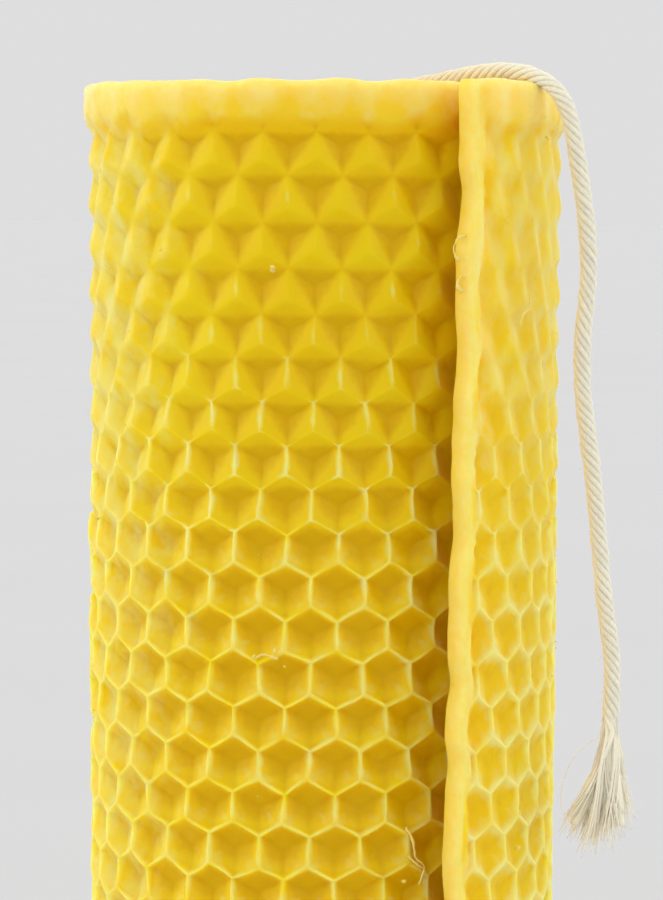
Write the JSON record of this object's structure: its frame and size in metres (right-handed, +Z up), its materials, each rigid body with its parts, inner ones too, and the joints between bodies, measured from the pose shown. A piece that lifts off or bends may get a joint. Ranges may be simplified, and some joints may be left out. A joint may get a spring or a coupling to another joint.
{
  "type": "rolled honeycomb beeswax candle",
  "caption": "Pillar candle rolled from embossed honeycomb wax foundation round a twisted cotton wick, which lies over the rim and hangs down the side to a frayed end.",
  "frame": {"origin": "centre of the wick on the base plane that the candle stands on", "axes": "+Z up along the wick; the front, with the outer sheet's free edge right of its middle, is -Y; +X is to the right seen from the front"},
  "size_m": [0.0587, 0.052, 0.1458],
  "materials": {
    "beeswax": "yellow beeswax, slightly translucent, with a soft satin gloss",
    "wick_cotton": "undyed twisted cotton yarn, matte"
  },
  "bodies": {
    "root": {"sheet_outer": "beeswax", "sheet_inner": "beeswax", "wick_core": "wick_cotton", "wick_tail": "wick_cotton", "wick_fray": "wick_cotton"}
  },
  "joints": []
}
